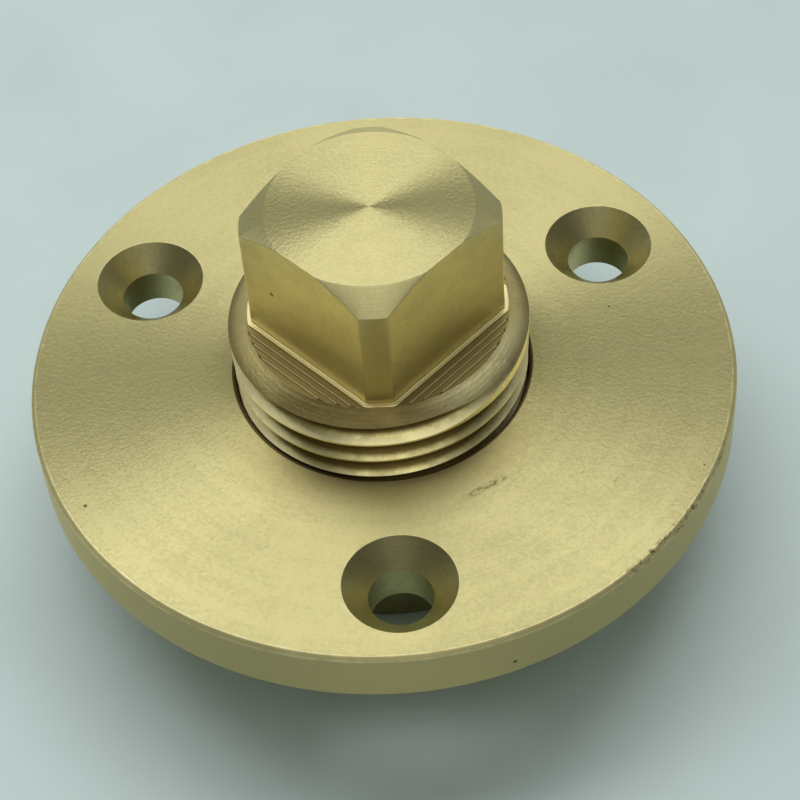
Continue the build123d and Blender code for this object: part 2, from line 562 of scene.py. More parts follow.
def cut(tree, cutters):
    """Cuts the cutters out of the incoming mesh and gives the new faces their material."""
    whole = tree.add("GeometryNodeRealizeInstances", {"Geometry": cutters})
    cutting = tree.add(
        "GeometryNodeMeshBoolean", {"Mesh 1": tree.given["Geometry"], "Mesh 2": whole},
        out="Mesh", operation="DIFFERENCE", solver="MANIFOLD",
    )
    real = tree.add("GeometryNodeRealizeInstances", {"Geometry": cutting})
    finished = tree.add(
        "GeometryNodeSetMaterial", {"Geometry": real, "Material": tree.given["Material"]}
    )
    return tree.put_out(Geometry=finished)


def bar(tree, line, profile, **more):
    """A closed bar of the profile along the line, its own up kept upright."""
    upright = tree.add("GeometryNodeSetCurveNormal", {"Curve": line}, mode="Z_UP")
    given = {"Curve": upright, "Profile Curve": profile, **more, "Fill Caps": True}
    return tree.add("GeometryNodeCurveToMesh", given)


def four_points(tree, *points):
    """A closed outline of four points."""
    given = {f"Point {number}": point for number, point in enumerate(points, 1)}
    return tree.add("GeometryNodeCurvePrimitiveQuadrilateral", given, mode="POINTS")


def groove_profile(tree, side, open_width, root_width, depth, reach):
    """A V outline, root towards the metal; its open side stands reach clear of the surface."""
    half_root = tree.times(root_width, 0.5)
    half_open = tree.plus(tree.times(open_width, 0.5), tree.times(reach, math.tan(THREAD_FLANK)))
    root = tree.times(depth, side)
    clear = tree.times(tree.times(reach, -1.0), side)
    corners = (
        (clear, half_open, -1.0), (root, half_root, -1.0), (root, half_root, 1.0), (clear, half_open, 1.0)
    )
    return four_points(tree, *(
        tree.point(across, tree.times(tree.times(half, way), side)) for across, half, way in corners
    ))


def helical_groove_tree(name):
    """Cuts a right-hand tapered thread groove that dies away at its upper end.

    Side is -1 for a groove cut in from outside and 1 for one cut out from a bore.
    """
    tree = cutting_tree(name, {**numbers(
        "Side", "Radius", "Depth", "Reach", "Open Width", "Root Width", "Pitch", "Taper",
        "Start Height", "Turns", "End Direction", "Fade",
    ), "Segments": "whole"})
    given = tree.given
    rise = tree.times(given["Turns"], given["Pitch"])
    widening = tree.times(rise, tree.times(given["Taper"], 0.5))
    spiral = tree.add("GeometryNodeCurveSpiral", {
        "Resolution": given["Segments"],
        "Rotations": given["Turns"],
        "Start Radius": given["Radius"],
        "End Radius": tree.plus(given["Radius"], widening),
        "Height": rise,
        "Reverse": True,
    })
    swept = tree.times(given["Turns"], 2 * math.pi)
    placed = tree.add("GeometryNodeTransform", {
        "Geometry": spiral,
        "Translation": tree.point(z=given["Start Height"]),
        "Rotation": tree.point(z=tree.minus(given["End Direction"], swept)),
    })
    along = tree.add("GeometryNodeSplineParameter", out="Factor")
    turns_left = tree.times(tree.minus(1.0, along), given["Turns"])
    thinnest = 0.03
    groove = bar(tree, placed, groove_profile(
        tree, given["Side"], given["Open Width"], given["Root Width"], given["Depth"], given["Reach"]
    ), Scale=tree.step(turns_left, 0.0, given["Fade"], thinnest, 1.0))
    return cut(tree, groove)


def screw_hole_tree(name):
    """Cuts the same hole at even steps round a circle."""
    tree = cutting_tree(name, {
        "Cutter": "object", "Count": "whole", **numbers("Circle Radius", "First Direction"),
    })
    given = tree.given
    ring = tree.add("GeometryNodeMeshCircle", {
        "Vertices": given["Count"], "Radius": given["Circle Radius"],
    })
    placed = tree.add("GeometryNodeTransform", {
        "Geometry": ring, "Rotation": tree.point(z=given["First Direction"]),
    })
    cutter = tree.add(
        "GeometryNodeObjectInfo", {"Object": given["Cutter"], "As Instance": False}, out="Geometry"
    )
    holes = tree.add("GeometryNodeInstanceOnPoints", {"Points": placed, "Instance": cutter})
    return cut(tree, holes)


def ridge_tree(name):
    """Cuts V grooves into the shoulder beside each of the four flats."""
    tree = cutting_tree(name, {**numbers(
        "First Distance", "Pitch", "Depth", "Half Length", "Height", "First Direction", "Wander"
    ), "Count": "whole", "Seed": "whole"})
    given = tree.given
    reach = tree.times(given["Depth"], 0.5)
    half_root, overlap = 0.01 * MM, 1.4         # neighbouring grooves overlap above the surface
    wide = tree.times(tree.times(given["Pitch"], 0.5), overlap)
    down = tree.times(given["Depth"], -1.0)
    outline = four_points(
        tree, tree.point(tree.times(wide, -1.0), reach), tree.point(-half_root, down),
        tree.point(half_root, down), tree.point(wide, reach),
    )
    line = tree.add("GeometryNodeCurvePrimitiveLine", {
        "Start": tree.point(y=tree.times(given["Half Length"], -1.0)),
        "End": tree.point(y=given["Half Length"]),
    })
    row = tree.add("GeometryNodeMeshLine", {
        "Count": given["Count"],
        "Start Location": tree.point(given["First Distance"], 0.0, given["Height"]),
        "Offset": tree.point(given["Pitch"]),
    })
    spread = tree.node("FunctionNodeRandomValue", {"Seed": given["Seed"]}, data_type="FLOAT")
    limits = {socket.name: socket for socket in spread.inputs if socket.enabled}
    tree.give(limits["Min"], tree.minus(1.0, given["Wander"]))
    tree.give(limits["Max"], tree.plus(1.0, given["Wander"]))
    depth_share = next(socket for socket in spread.outputs if socket.enabled)
    bars = tree.add("GeometryNodeInstanceOnPoints", {
        "Points": row, "Instance": bar(tree, line, outline), "Scale": tree.point(1.0, 1.0, depth_share),
    })
    sides = tree.add("GeometryNodePoints", {"Count": 4})
    side = tree.add("GeometryNodeInputIndex")
    facing = tree.plus(given["First Direction"], tree.times(side, QUARTER))
    square = tree.add("GeometryNodeInstanceOnPoints", {
        "Points": sides, "Instance": bars, "Rotation": tree.point(z=facing),
    })
    return cut(tree, square)


def shape(made, name, values):
    """Runs the geometry tree on the object with these values and keeps what it makes."""
    modifier = made.modifiers.new(name, "NODES")
    modifier.node_group = built(name)
    for item in modifier.node_group.interface.items_tree:
        if item.item_type == "SOCKET" and item.in_out == "INPUT" and item.name in values:
            modifier[item.identifier] = values[item.name]
    plain_mesh(made)


# ---------------------------------------------------------------- shader node groups


def ring_marks(name):
    """Fine marks of a turning tool, in rings round the Z axis."""
    inputs = {"Vector": "vector", **numbers("Spacing")}
    group = Group("ShaderNodeTree", name, inputs, numbers("Height", "Tone"))
    place, spacing = group.given["Vector"], group.given["Spacing"]
    radius = group.from_axis(place)

    def marks(apart, **more):
        given = {"W": group.over(radius, apart), "Scale": 1.0, **more}
        return group.add("ShaderNodeTexNoise", given, noise_dimensions="1D")

    fine = marks(spacing, Detail=3.0, Roughness=0.75)
    wide = marks(group.times(spacing, 17.0), Detail=2.0)
    share = group.step(group.noise(place, scale=420.0, detail=2.0), 0.35, 0.65, 0.35, 1.0)
    tone = group.plus(group.times(fine, 0.55), group.times(wide, 0.45))
    return group.put_out(Height=group.times(fine, share), Tone=tone)


def straight_marks(name):
    """Marks of a milling cutter that runs level along a flat."""
    inputs = {"Vector": "vector", **numbers("Spacing", "Slant")}
    group = Group("ShaderNodeTree", name, inputs, numbers("Height", "Tone"))
    slanted = group.rotated(group.given["Vector"], group.given["Slant"], axis=(1, 1, 0))
    drawn_out = group.vector("MULTIPLY", slanted, (0.06, 0.06, 1.0))
    close = group.over(1.0, group.given["Spacing"])
    fine = group.noise(drawn_out, scale=close, detail=4.0, roughness=0.7)
    broad = group.noise(drawn_out, scale=group.times(close, 0.15), detail=2.0)
    return group.put_out(Height=fine, Tone=broad)


def brass_skin(name):
    """Colour and dullness of bare brass: clouds of tarnish, dark specks and fine scratches."""
    group = Group("ShaderNodeTree", name, {
        "Vector": "vector", "Bright": "colour", "Dull": "colour", "Stain": "colour",
        **numbers("Marks", "Mark Amount", "Cloud Size", "Cloud Amount", "Speck Amount", "Scratch Amount"),
    }, {"Color": "colour", **numbers("Dullness", "Dents")})
    given, place = group.given, group.given["Vector"]

    def cells(where, scale):
        """Distance to the nearest of some scattered points, and two random numbers of that point."""
        node = group.node("ShaderNodeTexVoronoi", {"Vector": where, "Scale": scale})
        picks = group.node("ShaderNodeSeparateColor", {"Color": node.outputs["Color"]}).outputs
        return node.outputs["Distance"], picks[0], picks[1]

    def fewer(pick, amount, most):
        """1 at a share of the points, up to most."""
        return group.maths("LESS_THAN", pick, group.times(given[amount], most))

    cloud = group.noise(place, group.over(1.0, given["Cloud Size"]), detail=6.0, roughness=0.62)
    clouded = group.times(group.step(cloud, 0.32, 0.72), given["Cloud Amount"])
    marked = group.times(group.minus(given["Marks"], 0.5), given["Mark Amount"])
    grain = group.noise(place, scale=3700.0, detail=4.0)
    grained = group.times(group.minus(grain, 0.5), 0.9)
    dull = group.maths("ADD", group.plus(clouded, marked), grained, clamp=True)
    away, pick, other_pick = cells(place, scale=420.0)
    reach = group.maths("MULTIPLY_ADD", other_pick, 0.06, 0.03)
    speck = group.times(group.maths("LESS_THAN", away, reach), fewer(pick, "Speck Amount", most=0.18))
    bend = group.noise(place, scale=90.0, detail=1.0, out="Color")
    bent = group.vector("MULTIPLY_ADD", bend, (0.004, 0.004, 0.004), place)
    scratch = 0.0
    for angle, stretch in ((0.5, 0.05), (-0.9, 0.04), (1.4, 0.06)):
        thin = group.vector("MULTIPLY", group.rotated(bent, angle), (stretch, 1.0, 1.0))
        away, pick, _ = cells(thin, scale=700.0)
        hair = group.maths("LESS_THAN", away, 0.045)
        hair = group.times(hair, fewer(pick, "Scratch Amount", most=0.25))
        scratch = group.maths("MAXIMUM", scratch, hair)
    toned = group.mix(dull, given["Bright"], given["Dull"])
    scratched = group.mix(group.times(scratch, 0.25), toned, given["Stain"])
    coloured = group.mix(group.times(speck, 0.85), scratched, given["Stain"])
    dents = group.maths("MAXIMUM", speck, group.times(scratch, 0.4))
    return group.put_out(Color=coloured, Dullness=dull, Dents=dents)


def edge_line(name):
    """A worn line along one turned edge, given by its radius and height."""
    inputs = {"Vector": "vector", **numbers("Radius", "Height", "Width")}
    group = Group("ShaderNodeTree", name, inputs, numbers("Mask"))
    given, place = group.given, group.given["Vector"]
    aside = group.minus(group.from_axis(place), given["Radius"])
    above = group.minus(group.parts(place)[2], given["Height"])
    away = group.size(group.point(aside, above))
    ragged = group.noise(place, scale=900.0, detail=3.0)
    width = group.times(given["Width"], group.step(ragged, 0.3, 0.75, 0.35, 1.6))
    return group.put_out(Mask=group.step(group.over(away, width), 0.35, 1.0, 1.0, 0.0))


TREES = {
    "Taper thread": helical_groove_tree,
    "Screw holes": screw_hole_tree,
    "Cutter ridges": ridge_tree,
    "Ring marks": ring_marks,
    "Straight marks": straight_marks,
    "Brass skin": brass_skin,
    "Edge line": edge_line,
}


# ---------------------------------------------------------------- materials


def solid(rgb):
    return (*rgb, 1.0)


class Metal(Nodes):
    """One metal material, with its own shader and the object's coordinates."""

    def __init__(self, name):
        self.material = bpy.data.materials.new(name)
        self.material.use_nodes = True
        super().__init__(self.material.node_tree)
        self.tree.nodes.clear()
        self.shader = self.node("ShaderNodeBsdfPrincipled", {"Metallic": 1.0})
        self.node("ShaderNodeOutputMaterial", {"Surface": self.shader.outputs[0]})
        self.place = self.add("ShaderNodeTexCoord", out="Object")

    def feed(self, node, **values):
        """Feeds a node's inputs by name; an underscore stands for a space."""
        for key, value in values.items():
            self.give(node.inputs[key.replace("_", " ")], value)
        return node

    def use(self, name, **values):
        """Places a shared node group with its own values and hands back its outputs."""
        node = self.node("ShaderNodeGroup", node_tree=built(name))
        return self.feed(node, **{"Vector": self.place, **values}).outputs

    def skin(self, bright, dull, finish, **values):
        """Bare brass between two colours, with the finish's stains."""
        stain_and_shade = solid(finish.stain_and_shade)
        return self.use("Brass skin", Bright=solid(bright), Dull=solid(dull), Stain=stain_and_shade, **values)

    def edge(self, radius, height, width):
        """A mask of one worn edge."""
        return self.use("Edge line", Radius=radius, Height=height, Width=width)["Mask"]

    def radius(self):
        return self.from_axis(self.place)

    def height(self):
        return self.parts(self.place)[2]

    def towards(self, x, y):
        """How far each point lies from the Z axis in a level direction."""
        return self.vector("DOT_PRODUCT", self.place, (x, y, 0.0), out="Value")

    def turned_sheen(self, amount):
        """Sheen that fans out from the Z axis, as turning marks give it."""
        tangent = self.add("ShaderNodeTangent", direction_type="RADIAL", axis="Z")
        return {"Anisotropic": amount, "Anisotropic_Rotation": 0.25, "Tangent": tangent}

    def bump(self, height, distance, normal=None):
        """A normal that follows the height, on top of another normal if there is one."""
        below = {"Normal": normal} if normal else {}
        given = {"Height": height, "Distance": distance, "Strength": 1.0, **below}
        return self.add("ShaderNodeBump", given)

    def coat(self, colour, dullness, least, added, bumps=(), **sheen):
        """Gives the shader its colour, its roughness from least up, and bumps of (height, distance)."""
        roughness = self.maths("MULTIPLY_ADD", dullness, added, least)
        self.feed(self.shader, Base_Color=colour, Roughness=roughness, **sheen)
        normal = None
        for height, distance in bumps:
            normal = self.bump(height, distance, normal)
        if normal:
            self.feed(self.shader, Normal=normal)
        return self.material


def turned_flange_brass(name, paler, duller, finish, sizes):
    """Faced and turned brass, with rubbed rim edges, knocks and a scuff, a painted shadow and brown
    reflection of the plug just in front of it, and a painted dark ring of shade at the mouth.
    """
    metal = Metal(name)
    rings = metal.use("Ring marks", Spacing=0.11 * MM)
    skin = metal.skin(
        paler, duller, finish, Marks=rings["Tone"], Mark_Amount=0.9, Cloud_Size=9 * MM,
        Cloud_Amount=0.25, Speck_Amount=0.45, Scratch_Amount=0.5,
    )
    face, rim, break_in, mouth = (
        sizes.flange_thickness, sizes.flange_radius, sizes.rim_break, sizes.mouth_radius
    )
    colour = skin["Color"]
    for radius, height in ((rim - break_in, face), (rim, face - break_in)):
        worn = metal.times(metal.edge(radius, height, 0.13 * MM), 0.45)
        colour = metal.mix(worn, colour, solid(finish.rubbed_and_highlight))
    radius = metal.radius()
    # Painted shadow and painted brown reflection of the plug, on the flange just in front of it.
    close = metal.step(radius, mouth + 0.5 * MM, mouth + 4.0 * MM, 0.65, 0.0)
    front_in_shade = metal.step(metal.towards(0, -1), 0.3 * mouth, 1.1 * mouth)
    colour = metal.mix(metal.times(close, front_in_shade), colour, solid(finish.painted_brown_shade))
    # Painted shade: a dark ring just outside the mouth, where the gap round the plug lies in shadow.
    gap_shade = metal.step(radius, mouth + 0.12 * MM, mouth + 0.22 * MM, 1.0, 0.0)
    colour = metal.mix(gap_shade, colour, solid(finish.stain_and_shade))
    knocks = metal.maths("MAXIMUM", rim_nicks(metal, rim, face), scuff(metal))
    colour = metal.mix(knocks, colour, solid(finish.stain_and_shade))
    return metal.coat(colour, skin["Dullness"], least=0.42, added=0.12, bumps=(
        (rings["Height"], 0.005 * MM),
        (skin["Dullness"], 0.010 * MM),
        (metal.plus(skin["Dents"], knocks), -0.02 * MM),
    ), **metal.turned_sheen(0.90))


def scuff(metal):
    """A short row of dark scuffs in front of the plug."""
    middle, way = (6.4 * MM, -12.0 * MM, FACE_Z), math.radians(-28)
    along = metal.rotated(metal.vector("SUBTRACT", metal.place, middle), way)
    x, y, _ = metal.parts(along)
    inside = metal.times(
        metal.step(metal.maths("ABSOLUTE", x), 1.0 * MM, 2.2 * MM, 1.0, 0.0),
        metal.step(metal.maths("ABSOLUTE", y), 0.10 * MM, 0.50 * MM, 1.0, 0.0),
    )
    drawn_out = metal.vector("MULTIPLY", along, (0.55, 1.0, 1.0))
    broken = metal.noise(drawn_out, scale=3600.0, detail=5.0, roughness=0.7)
    return metal.times(inside, metal.step(broken, 0.42, 0.72, 0.0, 0.75))


def rim_nicks(metal, rim, face):
    """Dark knocks along the stretch of the rim that has been struck most."""
    x, y, z = metal.parts(metal.place)
    most_struck, inset = math.radians(-38), 0.1 * MM
    off = metal.maths("ABSOLUTE", metal.minus(metal.maths("ARCTAN2", y, x), most_struck))
    stretch = metal.step(off, math.radians(8), math.radians(22), 1.0, 0.0)
    from_edge = metal.size(metal.point(
        metal.minus(metal.radius(), rim - inset), metal.minus(z, face - inset),
    ))
    near = metal.step(from_edge, 0.15 * MM, 0.50 * MM, 1.0, 0.0)
    broken = metal.noise(metal.place, scale=2300.0, detail=5.0, roughness=0.75)
    chips = metal.step(broken, 0.50, 0.64, 0.0, 0.9)
    return metal.times(metal.times(chips, near), stretch)


def drilled_brass(finish, sizes):
    """The cut surface of the countersunk holes, marked in rings round each hole."""
    metal = Metal("Brass_drilled")
    flat = metal.vector("MULTIPLY", metal.place, (1, 1, 0))
    first, *others = (metal.vector("SUBTRACT", flat, axis) for axis in screw_axes(sizes))
    nearest = first
    for other in others:
        closer = metal.maths("LESS_THAN", metal.size(other), metal.size(nearest))
        change = metal.vector("SUBTRACT", other, nearest)
        change = metal.vector("MULTIPLY", change, metal.point(closer, closer, closer))
        nearest = metal.vector("ADD", nearest, change)
    from_hole = metal.vector("ADD", nearest, metal.point(z=metal.height()))
    rings = metal.use("Ring marks", Vector=from_hole, Spacing=0.10 * MM)
    skin = metal.skin(
        finish.drilled, finish.satin_dull, finish, Marks=rings["Tone"], Mark_Amount=0.5,
        Cloud_Size=3 * MM, Cloud_Amount=0.6, Speck_Amount=0.2,
    )
    return metal.coat(
        skin["Color"], skin["Dullness"], least=0.36, added=0.12, bumps=[(rings["Height"], 0.008 * MM)],
        Anisotropic=0.5, Tangent=metal.vector("CROSS_PRODUCT", (0, 0, 1), nearest),
    )


def painted_shade_brass(name, paler, finish):
    """Dark brown brass as painted shade, down inside the bore or behind the flange."""
    metal = Metal(name)
    skin = metal.skin(
        paler, finish.stain_and_shade, finish, Cloud_Size=2.5 * MM, Cloud_Amount=0.35, Speck_Amount=0.6
    )
    dullness = skin["Dullness"]
    return metal.coat(skin["Color"], dullness, least=0.5, added=0.2, bumps=[(dullness, 0.01 * MM)])


def turned_plug_brass(finish):
    """The plug's faced top, the chamfer round it and the plug's lower end."""
    metal = Metal("Brass_turned_plug")
    rings = metal.use("Ring marks", Spacing=0.10 * MM)
    skin = metal.skin(
        finish.satin, finish.satin_dull, finish, Marks=rings["Tone"], Mark_Amount=0.8,
        Cloud_Size=5 * MM, Cloud_Amount=0.25, Speck_Amount=0.5, Scratch_Amount=0.5,
    )
    return metal.coat(skin["Color"], skin["Dullness"], least=0.40, added=0.12, bumps=(
        (rings["Height"], 0.006 * MM),
        (skin["Dullness"], 0.015 * MM),
        (skin["Dents"], -0.02 * MM),
    ), **metal.turned_sheen(0.87))


def milled_brass(name, paler, finish):
    """The plug's four flats, or the strips between them."""
    metal = Metal(name)
    marks = metal.use("Straight marks", Spacing=0.16 * MM, Slant=math.radians(9))
    skin = metal.skin(
        paler, finish.dull, finish, Marks=marks["Tone"], Mark_Amount=0.5, Cloud_Size=2.0 * MM,
        Cloud_Amount=0.35, Speck_Amount=0.9, Scratch_Amount=0.6,
    )
    return metal.coat(skin["Color"], skin["Dullness"], least=0.36, added=0.15, bumps=(
        (marks["Height"], 0.010 * MM),
        (skin["Dents"], -0.02 * MM),
    ), Anisotropic=0.3)


def ridged_brass(finish, sizes):
    """The floor beside the flats: a painted highlight on the ridge tops, painted brown shade in the
    grooves.
    """
    metal = Metal("Brass_ridged")
    skin = metal.skin(
        finish.bright, finish.dull, finish, Cloud_Size=2 * MM, Cloud_Amount=0.35,
        Speck_Amount=0.8, Scratch_Amount=0.2,
    )
    down = metal.minus(FACE_Z + sizes.shoulder, metal.height())
    # Painted shade in the grooves and a painted highlight on the ridge tops.
    groove = metal.step(down, 0.01 * MM, 0.08 * MM)
    crest = metal.step(down, 0.0, 0.02 * MM, 0.7, 0.0)
    colour = metal.mix(crest, skin["Color"], solid(finish.rubbed_and_highlight))
    colour = metal.mix(groove, colour, solid(finish.painted_brown_shade))
    return metal.coat(colour, skin["Dullness"], least=0.44, added=0.14)


def shoulder_brass(finish, sizes):
    """The dull sloping band above the thread: lighter towards the front right, with painted shade towards
    the front and at its foot.
    """
    metal = Metal("Brass_shoulder")
    rings = metal.use("Ring marks", Spacing=0.18 * MM)
    skin = metal.skin(
        finish.greyed, finish.dull, finish, Marks=rings["Tone"], Mark_Amount=1.2,
        Cloud_Size=2.2 * MM, Cloud_Amount=0.9, Speck_Amount=1.8, Scratch_Amount=0.4,
    )
    band, top = sizes.shoulder_radius, FACE_Z + sizes.shoulder
    low = top - sizes.shoulder_drop
    # Lighter towards the front right.
    front_right_lighter = metal.step(metal.towards(0.72, -0.69), 0.80 * band, 1.0 * band, 0.0, 0.8)
    # Painted shade: darker towards the front, away from the lamp, and at the band's foot in the crease
    # above the thread.
    front_shade = metal.step(metal.towards(-0.2, -0.98), 0.72 * band, 0.98 * band, 0.0, 0.75)
    foot_shade = metal.step(metal.height(), low, low + 0.8 * MM, 0.75, 0.0)
    colour = metal.mix(front_right_lighter, skin["Color"], solid(finish.rubbed_and_highlight))
    colour = metal.mix(metal.maths("MAXIMUM", foot_shade, front_shade), colour, solid(finish.root))
    colour = metal.mix(metal.edge(band, top, 0.10 * MM), colour, solid(finish.rubbed_and_highlight))
    return metal.coat(colour, skin["Dullness"], least=0.42, added=0.12, bumps=(
        (rings["Height"], 0.016 * MM),
        (skin["Dullness"], 0.025 * MM),
    ), **metal.turned_sheen(0.6))


def threaded_brass(finish, sizes, thread):
    """The thread: a painted highlight on the crests and painted brown shade down in the roots, reaching
    nearer the crests on the front side.
    """
    metal = Metal("Brass_thread")
    rings = metal.use("Ring marks", Spacing=0.09 * MM)
    skin = metal.skin(
        finish.bright, finish.dull, finish, Marks=rings["Tone"], Mark_Amount=0.5,
        Cloud_Size=1.2 * MM, Cloud_Amount=0.6, Speck_Amount=0.9,
    )
    above = metal.minus(metal.height(), FACE_Z)
    crest = metal.maths("MULTIPLY_ADD", above, thread.taper / 2, sizes.crest_radius)
    # Painted shade: the roots are darker, and on the front side, away from the lamp, the darkening
    # reaches nearer the crests.
    front_in_shade = metal.step(
        metal.towards(0, -1), 0.4 * sizes.crest_radius, 0.95 * sizes.crest_radius, 0.0, 0.34 * MM
    )
    front_shade_reach = metal.times(front_in_shade, metal.step(above, 3.0 * MM, 3.6 * MM, 1.0, 0.0))
    depth = metal.plus(metal.minus(crest, metal.radius()), front_shade_reach)
    root = metal.step(depth, 0.48 * MM, 0.84 * MM, 0.0, 0.95)
    # Painted highlight: the crests and the outer parts of the flanks are lighter.
    rubbed_and_highlight = metal.step(depth, 0.12 * MM, 0.60 * MM, 0.95, 0.0)
    colour = metal.mix(root, skin["Color"], solid(finish.root))
    colour = metal.mix(rubbed_and_highlight, colour, solid(finish.rubbed_and_highlight))
    return metal.coat(
        colour, skin["Dullness"], least=0.30, added=0.14, bumps=[(skin["Dullness"], 0.006 * MM)],
        **metal.turned_sheen(0.5),
    )


def floor_paint(settings):
    """A pale matt surface with the faintest mottle."""
    matt = Metal("Pale_floor")
    mottle = matt.step(matt.noise(matt.place, scale=60.0, detail=4.0), 0.3, 0.7)
    darker = 0.94
    shaded = solid([darker * part for part in settings.floor])
    paint = matt.mix(mottle, solid(settings.floor), shaded)
    matt.feed(matt.shader, Base_Color=paint, Metallic=0.0, Roughness=0.55)
    return matt.material


# ---------------------------------------------------------------- pieces


def give_zones(made, materials, choose):
    """Gives each face the material that choose names for its middle and its normal."""
    made.data.materials.clear()
    for material in materials.values():
        made.data.materials.append(material)
    order = {name: i for i, name in enumerate(materials)}
    for face in made.data.polygons:
        face.material_index = order[choose(face.center, face.normal)]


def hand_over(made, body, node):
    """Puts a finished piece in its CAD node's place."""
    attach(made, body)
    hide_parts(node)


def cut_thread(made, thread, material, side, depth, open_width, radius, face, upper, below):
    """Cuts the thread from its upper end to a turn past below; radius is the surface's at face."""
    turns = (upper + below + thread.pitch) / thread.pitch
    start = upper - turns * thread.pitch
    shape(made, "Taper thread", {
        "Side": side, "Radius": radius + (start - face) * thread.taper / 2, "Depth": depth,
        "Reach": THREAD_REACH, "Open Width": open_width, "Root Width": thread.root_flat,
        "Pitch": thread.pitch, "Taper": thread.taper, "Start Height": start, "Turns": turns,
        "End Direction": thread.run_out, "Fade": thread.fade, "Segments": thread.segments,
        "Material": material,
    })


class DRAINFITTING_OT_socket(bpy.types.Operator):
    """Make the flange with its hub, threaded bore and countersunk screw holes"""

    bl_idname = "drainfitting.socket"
    bl_label = "Turned socket"

    def execute(self, context):
        scene = context.scene
        sizes, thread, finish = scene.socket_sizes, scene.thread_sizes, scene.finish_colours
        materials = {
            "turned": turned_flange_brass("Brass_face", finish.satin, finish.satin_dull, finish, sizes),
            "rim": turned_flange_brass("Brass_rim", finish.rim, finish.satin, finish, sizes),
            "drilled": drilled_brass(finish, sizes),
            "bore": painted_shade_brass("Brass_bore", finish.bore, finish),
            "hub": painted_shade_brass("Brass_hub", finish.hub, finish),
        }
        socket = flange_and_hub(sizes, thread)
        cutter = screw_hole_cutter(sizes)
        shape(socket, "Screw holes", {
            "Cutter": cutter, "Count": SCREWS["count"], "Circle Radius": sizes.screw_circle,
            "First Direction": sizes.first_screw, "Material": materials["drilled"],
        })
        bpy.data.objects.remove(cutter)
        cut_thread(
            socket, thread, materials["bore"], side=1.0, depth=sizes.thread_depth,
            open_width=2 * sizes.thread_depth * math.tan(THREAD_FLANK) + thread.root_flat,
            radius=sizes.bore_radius, face=sizes.flange_thickness,
            upper=sizes.flange_thickness - sizes.thread_drop, below=sizes.hub_height,
        )
        smooth_between_edges(socket, [UP, DOWN])
        self.paint(socket, sizes, materials)
        hand_over(socket, "socket", "drain_socket")
        return {"FINISHED"}

    def paint(self, socket, sizes, materials):
        """Tells the turned faces, the holes and the bore apart."""
        axes = [axis.xy for axis in screw_axes(sizes)]
        drilled_radius = sizes.countersink_radius + 0.12 * MM
        bore_radius = sizes.mouth_radius + sizes.thread_depth
        level, upright, looks_down = 0.98, 0.5, -0.9

        def choose(middle, normal):
            beside, lean = middle.xy, abs(normal.z)
            if lean < level and min((beside - axis).length for axis in axes) < drilled_radius:
                return "drilled"
            inside = beside.length < bore_radius and normal.z > looks_down
            if inside and middle.z < sizes.flange_thickness - ON_LEVEL:
                return "bore"
            if middle.z < -ON_LEVEL:
                return "hub"
            return "rim" if lean < upright else "turned"

        give_zones(socket, materials, choose)


class DRAINFITTING_OT_plug(bpy.types.Operator):
    """Make the taper-threaded plug with its milled square head"""

    bl_idname = "drainfitting.plug"
    bl_label = "Square-head plug"

    def execute(self, context):
        scene = context.scene
        sizes, thread, finish = scene.plug_sizes, scene.thread_sizes, scene.finish_colours
        materials = {
            "turned": turned_plug_brass(finish),
            "milled": milled_brass("Brass_milled", finish.milled, finish),
            "corner": milled_brass("Brass_corner", finish.corner, finish),
            "ridged": ridged_brass(finish, sizes),
            "shoulder": shoulder_brass(finish, sizes),
            "thread": threaded_brass(finish, sizes, thread),
        }
        plug = plug_blank(sizes, thread)
        open_width = thread.pitch - thread.crest_flat
        cut_thread(
            plug, thread, materials["thread"], side=-1.0,
            depth=(open_width - thread.root_flat) / 2 / math.tan(THREAD_FLANK), open_width=open_width,
            radius=sizes.crest_radius, face=FACE_Z,
            upper=FACE_Z + sizes.shoulder - thread.upper_end, below=sizes.end_depth,
        )
        shape(plug, "Cutter ridges", {
            "First Distance": sizes.across_flats / 2 + sizes.ledge + sizes.ridge_pitch / 2,
            "Pitch": sizes.ridge_pitch, "Depth": sizes.ridge_depth, "Half Length": sizes.ridge_half,
            "Height": FACE_Z + sizes.shoulder, "First Direction": flat_turn(sizes),
            "Wander": sizes.ridge_wander, "Count": sizes.ridge_count, "Seed": RIDGE_SEED,
            "Material": materials["ridged"],
        })
        ways = [flat_turn(sizes) + i * QUARTER for i in range(4)]
        facing = [Vector((math.cos(a), math.sin(a), 0)) for a in ways]
        smooth_between_edges(plug, [UP, DOWN, *facing])
        self.paint(plug, sizes, materials, facing)
        hand_over(plug, "plug", "square_head_plug")
        return {"FINISHED"}

    def paint(self, plug, sizes, materials, facing):
        """Tells the turned, milled and threaded faces apart."""
        shoulder_z = FACE_Z + sizes.shoulder
        crest_z = shoulder_z - sizes.shoulder_drop
        near_flat = math.cos(math.radians(3))
        leans_up, band_slope, looks_down = 0.3, 0.7, -0.95

        def choose(middle, normal):
            if middle.z > shoulder_z + ON_LEVEL:
                if normal.z > leans_up:
                    return "turned"
                return "milled" if max(normal.dot(way) for way in facing) > near_flat else "corner"
            if middle.z > crest_z and middle.xy.length < sizes.shoulder_radius:
                return "ridged"
            if middle.z > crest_z and normal.z > band_slope:
                return "shoulder"
            return "thread" if normal.z > looks_down else "turned"

        give_zones(plug, materials, choose)


